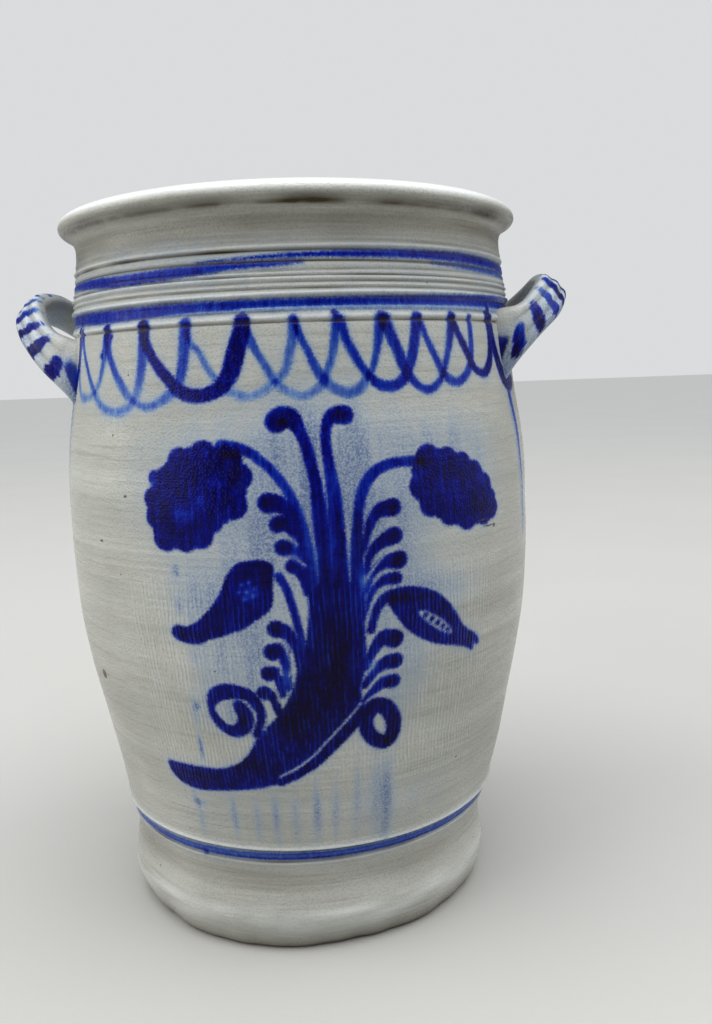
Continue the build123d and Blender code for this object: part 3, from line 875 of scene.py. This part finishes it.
# ---------------------- materials
class Nodes:
    """One node material under way, with short names for the nodes it is built from."""

    def __init__(self, name):
        self.material = bpy.data.materials.new(name)
        self.material.use_nodes = True
        self.tree = self.material.node_tree
        self.tree.nodes.clear()
        self.shader = self.node("BsdfPrincipled")
        self.node("OutputMaterial", {0: self.shader.outputs[0]})

    def node(self, kind, inputs=None, **settings):
        """A new node; its inputs, by name or number, are numbers, colours or other nodes' outputs."""
        n = self.tree.nodes.new("ShaderNode" + kind)
        for key, value in settings.items():
            setattr(n, key, value)
        self.fill(n, inputs or {})
        return n

    def fill(self, n, inputs):
        for key, value in inputs.items():
            if isinstance(value, bpy.types.NodeSocket):
                self.tree.links.new(value, n.inputs[key])
            else:
                n.inputs[key].default_value = value

    def place(self, scale=(1, 1, 1)):
        """Position in the shared frame, stretched."""
        here = self.node("TexCoord").outputs["Object"]
        return self.node("Mapping", {"Vector": here, "Scale": scale}).outputs[0]

    def noise(self, vector, scale, detail=2.0, rough=0.5, warp=0.0):
        inputs = {"Vector": vector, "Scale": scale, "Detail": detail, "Roughness": rough}
        return self.node("TexNoise", {**inputs, "Distortion": warp}).outputs["Fac"]

    def cells(self, vector, scale):
        """Distance to the nearest of scattered points, and a colour for each of them."""
        n = self.node("TexVoronoi", {"Vector": vector, "Scale": scale})
        return n.outputs["Distance"], n.outputs["Color"]

    def math(self, what, a, b=0.0):
        return self.node("Math", {0: a, 1: b}, operation=what).outputs[0]

    def add(self, a, b):
        return self.math("ADD", a, b)

    def times(self, a, b):
        return self.math("MULTIPLY", a, b)

    def swing(self, value, size):
        """How far a value between 0 and 1 is from its middle, at this size."""
        return self.times(self.add(value, -0.5), size)

    def ramp(self, value, low, high, out_low=0.0, out_high=1.0):
        inputs = dict(enumerate((value, low, high, out_low, out_high)))
        return self.node("MapRange", inputs, interpolation_type="SMOOTHSTEP").outputs[0]

    def mix(self, share, a, b):
        inputs = {0: share, 6: a, 7: b}
        return self.node("Mix", inputs, data_type="RGBA", clamp_factor=True).outputs[2]

    def colours(self, value, stops):
        n = self.node("ValToRGB", {0: value})
        band = n.color_ramp
        while len(band.elements) < len(stops):
            band.elements.new(0.5)
        for element, (at, colour) in zip(band.elements, stops):
            element.position = at
            element.color = (*colour, 1)
        return n.outputs[0]

    def field(self, name):
        return self.node("Attribute", attribute_name=name).outputs["Fac"]

    def split(self, vector):
        return self.node("SeparateXYZ", {0: vector}).outputs

    def finish(self, colour, rough, height, depth, strength):
        """Colour, roughness and bump: height is 0 to 1 and depth its size in metres."""
        bump = self.node("Bump", {"Strength": strength, "Distance": depth, "Height": height})
        finish = {"Base Color": colour, "Roughness": rough, "Normal": bump.outputs[0]}
        self.fill(self.shader, finish)
        return self.material


RIB_GAP = 2.7             # mm between the fine upright ribs of the lower front
# Cobalt from its thinnest to its thickest.
COBALT = [
    (0.0, (0.28, 0.37, 0.52)), (0.3, (0.10, 0.20, 0.43)), (0.5, (0.024, 0.076, 0.34)),
    (0.7, (0.005, 0.024, 0.29)), (0.86, (0.0025, 0.004, 0.165)), (1.0, (0.002, 0.0015, 0.065)),
]


def stoneware(name, stretch, ground_low, ground_high):
    """Blotched ground of a salt glaze; the coats below go over its colour, height and roughness."""
    n = Nodes(name)
    n.here = n.place()
    n.along = n.place((1, 1, 0.10))        # stretched up and down
    n.turned = n.place(stretch)            # stretched round the pot
    n.blotch = n.noise(n.here, 9, 3, 0.5)
    n.cloud = n.noise(n.turned, 60, 3, 0.55)
    uneven = n.add(n.times(n.blotch, 0.55), n.times(n.cloud, 0.45))
    n.colour = n.mix(n.ramp(uneven, 0.3, 0.7), (*ground_low, 1), (*ground_high, 1))
    clay(n)
    return n


def tint(n, share, colour):
    n.colour = n.mix(share, n.colour, (*colour, 1))


def clay(n):
    """Turning lines, orange peel, grit and dark specks."""
    pits, _ = n.cells(n.here, 640)
    n.peel = n.ramp(pits, 0.1, 0.62)
    grit = n.noise(n.here, 1700, 2, 0.6)
    rings = n.noise(n.turned, 420, 3, 0.6)
    lines = n.noise(n.turned, 1500, 2, 0.6)
    tint(n, n.times(n.ramp(rings, 0.5, 0.72), 0.34), (0.25, 0.235, 0.19))
    tint(n, n.times(n.ramp(lines, 0.53, 0.75), 0.24), (0.66, 0.66, 0.62))
    tint(n, n.times(n.ramp(n.peel, 0, 1, 1, 0), 0.24), (0.20, 0.20, 0.19))
    tint(n, n.times(n.ramp(grit, 0.5, 0.8), 0.2), (0.25, 0.24, 0.20))
    near, cell = n.cells(n.here, 70)
    few = n.math("GREATER_THAN", n.split(cell)[0], 0.83)
    speck = n.times(n.ramp(near, 0.03, 0.06, 1.0, 0.0), few)
    tint(n, n.times(speck, 0.85), (0.06, 0.04, 0.025))
    n.height = n.add(n.times(n.peel, 0.34), n.times(n.add(rings, lines), 0.22))
    n.rough = n.add(n.ramp(grit, 0.3, 0.7, 0.2, 0.3), n.ramp(n.peel, 0, 1, 0.08, 0.0))


def edges(n):
    """Pale raised places, partly thin glaze and partly painted highlight, a browner inside, and
    unglazed clay at the foot, its dark lowest edge partly painted shade by the floor.
    """
    # painted highlight on raised places, over thinner glaze
    pale = n.times(n.field("pale"), n.ramp(n.blotch, 0.2, 0.6, 0.6, 1))
    tint(n, pale, (0.78, 0.80, 0.80))
    tint(n, n.times(n.field("inner"), 0.6), (0.27, 0.23, 0.165))
    # unglazed clay, darkened partly as painted shade where the foot meets the floor
    bare_and_shade = n.times(n.field("bare_and_shade"), n.ramp(n.cloud, 0.3, 0.6, 0.5, 1))
    tint(n, n.times(bare_and_shade, 0.75), (0.17, 0.15, 0.11))


def ribs(n):
    """Fine upright ribs, leaning and broken."""
    x, y, z = n.split(n.here)
    angle = n.math("ARCTAN2", x, n.times(y, -1.0))
    sway = n.noise(n.here, 45, 2, 0.5)
    leaning = n.add(n.times(z, 70), n.times(sway, 9))
    phase = n.add(n.times(angle, 2 * math.pi * PAINT_R / RIB_GAP), leaning)
    wave = n.add(n.times(n.math("SINE", phase), 0.5), 0.5)
    broken = n.ramp(n.noise(n.along, 300, 2, 0.6), 0.3, 0.62, 0.2, 1.0)
    rib = n.times(n.times(n.field("ribs"), broken), wave)
    n.crest = n.ramp(rib, 0.45, 0.9)
    n.height = n.add(n.height, n.times(rib, 0.8))
    tint(n, n.times(n.crest, 0.22), (0.62, 0.65, 0.66))


def haze(n):
    """Haze of cobalt in the glaze: pale first, deeper where it ran."""
    depth = n.field("depth")
    far = n.times(n.ramp(depth, -13, 0), 0.17)
    near = n.times(n.ramp(depth, -3, 0.5), 0.3)
    glow = n.math("MAXIMUM", n.field("haze"), n.add(far, near))
    glow = n.times(glow, n.ramp(n.noise(n.along, 90, 4, 0.6), 0.25, 0.7, 0.6, 1.2))
    glow = n.times(glow, n.ramp(n.noise(n.here, 850, 2, 0.6), 0.36, 0.64, 0.72, 1.3))
    tint(n, n.ramp(glow, 0.0, 0.42, 0.0, 0.66), (0.26, 0.335, 0.44))
    tint(n, n.ramp(glow, 0.25, 0.8, 0.0, 0.85), (0.085, 0.125, 0.27))


def cobalt(n):
    """The strokes: their edges bleed a little, they are streaked, and dark where they pooled."""
    depth, tone = n.field("depth"), n.field("tone")
    bleed = n.swing(n.noise(n.here, 480, 3, 0.6), 1.3)
    bleed = n.add(bleed, n.swing(n.peel, 0.55))
    cover = n.ramp(n.add(depth, bleed), -0.95, 1.0)
    streak = n.swing(n.noise(n.along, 420, 3, 0.65), 0.62)
    worn = n.swing(n.noise(n.here, 240, 4, 0.7), 0.36)
    body = n.ramp(depth, 0.2, 2.2, -0.10, 0.05)
    thick = n.add(n.add(tone, body), n.add(streak, worn))
    thick = n.add(thick, n.times(n.crest, -0.17))
    uneven = n.ramp(n.noise(n.here, 330, 3, 0.65), 0.2, 0.62, 0.5, 1.15)
    pool = n.add(n.times(n.field("pool"), uneven), n.times(n.crest, -0.2))
    pool = n.math("MAXIMUM", pool, 0.0)
    blue = n.mix(pool, n.colours(thick, COBALT), (0.006, 0.0025, 0.016, 1))
    wash = n.ramp(tone, 0.2, 0.7, 0.72, 1.0)
    n.colour = n.mix(n.times(cover, wash), n.colour, blue)
    n.rough = n.add(n.rough, n.times(cover, -0.05))
    wrinkle = n.times(n.ramp(tone, 0.6, 0.9), n.noise(n.here, 300, 3, 0.6))
    raised = n.times(cover, n.add(n.times(wrinkle, 0.55), 0.12))
    n.height = n.add(n.height, raised)


def marks(n):
    """Darker turned lines and strap joints, painted shade under the lip and on the neck, and brown
    marks.
    """
    patchy = n.ramp(n.noise(n.turned, 300, 3, 0.6), 0.2, 0.6, 0.6, 1.1)
    # near-black brown over the darker lines and the painted shade
    tint(n, n.times(n.field("dirt_and_shade"), patchy), (0.065, 0.05, 0.03))
    ragged = n.swing(n.noise(n.here, 420, 4, 0.75), 0.5)
    stain = n.ramp(n.add(n.field("stain"), ragged), 0.28, 0.62)
    tint(n, n.times(stain, 0.88), (0.075, 0.052, 0.028))


def fired(n):
    n.shader.inputs["Specular IOR Level"].default_value = 0.14
    return n.finish(n.colour, n.rough, n.height, 0.00045, 0.85)


def pot_glaze():
    n = stoneware("salt_glaze", (0.03, 0.03, 1), (0.33, 0.333, 0.305), (0.475, 0.478, 0.445))
    for coat in (edges, ribs, haze, cobalt, marks):
        coat(n)
    return fired(n)


def weight_glaze():
    return fired(stoneware("weight_glaze", (0.6, 0.6, 1), (0.22, 0.17, 0.12), (0.36, 0.30, 0.22)))


def wood(name, stretch):
    """Oak, its grain along the direction that is stretched out."""
    n = Nodes(name)
    grain, here = n.place(stretch), n.place()
    long = n.noise(grain, 160, 4, 0.6, 0.8)
    fibre = n.noise(grain, 900, 3, 0.7)
    pore = n.noise(grain, 1800, 2, 0.5)
    wet = n.noise(here, 22, 3, 0.6)
    oak = [(0.25, (0.20, 0.12, 0.065)), (0.5, (0.36, 0.235, 0.13)), (0.75, (0.46, 0.32, 0.19))]
    colour = n.colours(long, oak)
    colour = n.mix(n.times(n.ramp(fibre, 0.5, 0.8), 0.4), colour, (0.15, 0.085, 0.045, 1))
    colour = n.mix(n.times(n.ramp(pore, 0.62, 0.7), 0.5), colour, (0.08, 0.045, 0.025, 1))
    colour = n.mix(n.times(n.ramp(wet, 0.4, 0.7), 0.35), colour, (0.17, 0.12, 0.08, 1))
    rough = n.ramp(fibre, 0.3, 0.7, 0.55, 0.75)
    height = n.add(n.times(fibre, 0.5), n.times(n.ramp(pore, 0.6, 0.72, 1, 0), 0.5))
    return n.finish(colour, rough, height, 0.0006, 0.7)


def stage_material():
    n = Nodes("stage_paper")
    here = n.place()
    colour = n.mix(n.noise(here, 3, 3, 0.5), (0.42, 0.415, 0.40, 1), (0.45, 0.445, 0.43, 1))
    return n.finish(colour, 0.85, n.noise(here, 400, 2, 0.5), 0.0004, 0.2)


# ---------------------- pieces
glazed = pot_glaze()
pot = new_mesh("crock_pot", *pot_mesh())
pot.data.materials.append(glazed)
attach(pot, "crock")
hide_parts("crock_body")

for side, label in ((-1, "left"), (1, "right")):
    ear = new_mesh(f"{label}_ear", *handle_mesh(side))
    ear.data.materials.append(glazed)
    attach(ear, "crock")
    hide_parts(f"{label}_handle")


def finish_node(name, material):
    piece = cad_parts[name]
    piece.data.materials.clear()
    piece.data.materials.append(material)


plank_wood = wood("oak_boards", (1, 0.06, 1))
batten_wood = wood("oak_battens", (0.06, 1, 1))
weight_clay = weight_glaze()
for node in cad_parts:
    if node.startswith("follower_plank"):
        finish_node(node, plank_wood)
    elif node.startswith("follower_"):
        finish_node(node, batten_wood)
    elif node.startswith("weight_"):
        finish_node(node, weight_clay)

# ---------------------- stage, light, camera
bpy.ops.mesh.primitive_plane_add(size=40, location=(0, 0, 0))
floor = bpy.context.object
floor.name = "stage_floor"
floor.data.materials.append(stage_material())

# The world lights the pot less than the camera sees it.
WORLD_SEEN, WORLD_LIGHT = (0.60, 0.61, 0.62, 1), (0.19, 0.205, 0.22, 1)
world = bpy.data.worlds.new("studio")
bpy.context.scene.world = world
world.use_nodes = True
backdrop, background = world.node_tree, world.node_tree.nodes["Background"]
ray = backdrop.nodes.new("ShaderNodeLightPath")
blend = backdrop.nodes.new("ShaderNodeMix")
blend.data_type = "RGBA"
blend.inputs[6].default_value, blend.inputs[7].default_value = WORLD_LIGHT, WORLD_SEEN
backdrop.links.new(ray.outputs["Is Camera Ray"], blend.inputs[0])
backdrop.links.new(blend.outputs[2], background.inputs[0])

WARM = (1, 0.975, 0.92)


def area(name, place, power):
    """A tall soft light at one side of the pot."""
    light = bpy.data.lights.new(name, "AREA")
    light.shape = "RECTANGLE"
    light.size, light.size_y = 3.0, 2.6
    light.energy, light.color = power, WARM
    lamp = bpy.data.objects.new(name, light)
    lamp.location = place
    lamp.visible_camera = False
    lamp.rotation_euler = (Vector((0, 0, 0.2)) - Vector(place)).to_track_quat("-Z", "Y").to_euler()
    bpy.context.scene.collection.objects.link(lamp)


daylight = bpy.data.lights.new("daylight", "SUN")
daylight.energy, daylight.angle, daylight.color = 2.9, math.radians(70), (0.97, 0.985, 1)
sky = bpy.data.objects.new("daylight", daylight)
sky.rotation_euler = Vector((-0.03, 0.13, -1)).to_track_quat("-Z", "Y").to_euler()
bpy.context.scene.collection.objects.link(sky)
area("left", (-2.4, -0.8, 1.5), 50)
area("right", (2.4, -0.4, 1.5), 28)

# The photo's camera: its place in metres, its tilt down and its roll in degrees, its lens in mm.
CAMERA_PLACE, TILT_DOWN, ROLL, LENS = (0.0388, -0.6406, 0.3593), 8.89, -2.09, 31.64
camera = bpy.data.objects.new("camera", bpy.data.cameras.new("camera"))
pitch, roll = math.radians(TILT_DOWN), math.radians(ROLL)
look = Vector((0, math.cos(pitch), -math.sin(pitch)))
level = Vector((0, math.sin(pitch), math.cos(pitch)))
right = math.cos(roll) * Vector((1, 0, 0)) + math.sin(roll) * level
upward = -math.sin(roll) * Vector((1, 0, 0)) + math.cos(roll) * level
turned = Matrix((right, upward, -look)).transposed()
camera.matrix_world = Matrix.Translation(CAMERA_PLACE) @ turned.to_4x4()
camera.data.sensor_fit = "AUTO"
camera.data.sensor_width = 36
camera.data.lens = LENS
bpy.context.scene.collection.objects.link(camera)
bpy.context.scene.camera = camera
bpy.context.scene.view_settings.view_transform = "Standard"
bpy.context.scene.view_settings.look = "Medium High Contrast"
